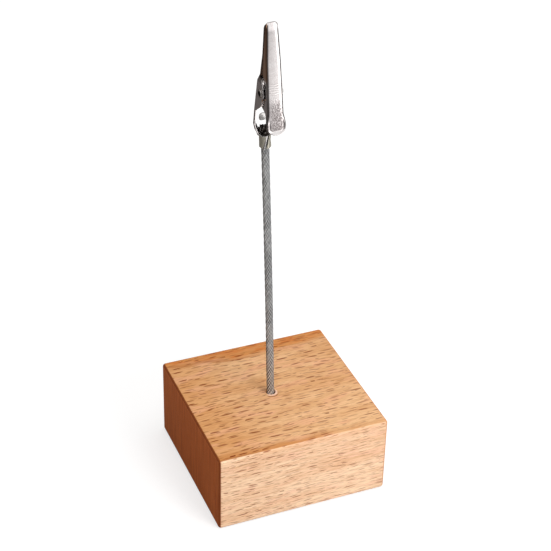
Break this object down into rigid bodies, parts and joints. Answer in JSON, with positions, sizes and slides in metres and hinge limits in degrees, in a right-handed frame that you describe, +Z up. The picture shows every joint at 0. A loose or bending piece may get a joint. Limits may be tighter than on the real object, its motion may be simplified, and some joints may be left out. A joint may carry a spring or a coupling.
{
  "type": "note clip stand",
  "caption": "Small toothed spring clip on a short wire rope stem in a rounded wooden block, to hold a note or card upright.",
  "frame": {"origin": "middle of the wooden block's underside", "axes": "+X along the grain of the block, -Y the way the clip's lever faces, +Z up along the stem"},
  "size_m": [0.05, 0.0474, 0.1404],
  "materials": {
    "beech": "fine sanded, unvarnished",
    "glue": "set wood glue",
    "rope_wire": "galvanised",
    "clip_sheet": "nickel plated",
    "rivet_steel": "nickel plated",
    "spring_wire": "drawn spring steel"
  },
  "bodies": {
    "stand": {"wood_block": "beech", "stem_adhesive": "glue", "rope_core_strand": "rope_wire", "rope_strand_1": "rope_wire", "rope_strand_2": "rope_wire", "rope_strand_3": "rope_wire", "rope_strand_4": "rope_wire", "rope_strand_5": "rope_wire", "rope_strand_6": "rope_wire", "lower_jaw": "clip_sheet", "pivot_rivet": "rivet_steel", "torsion_spring": "spring_wire"},
    "jaw": {"upper_jaw": "clip_sheet"}
  },
  "joints": [
    {"name": "jaw_pivot", "type": "hinge", "parent": "stand", "child": "jaw", "pos_m": [-0.00444, -0.0044, 0.12123], "axis": [0.9993, 0, 0.0384], "range_deg": [0, 28], "stiffness_Nm_per_rad": 0.01, "springref_deg": -40.11, "deforming": ["torsion_spring"]}
  ]
}
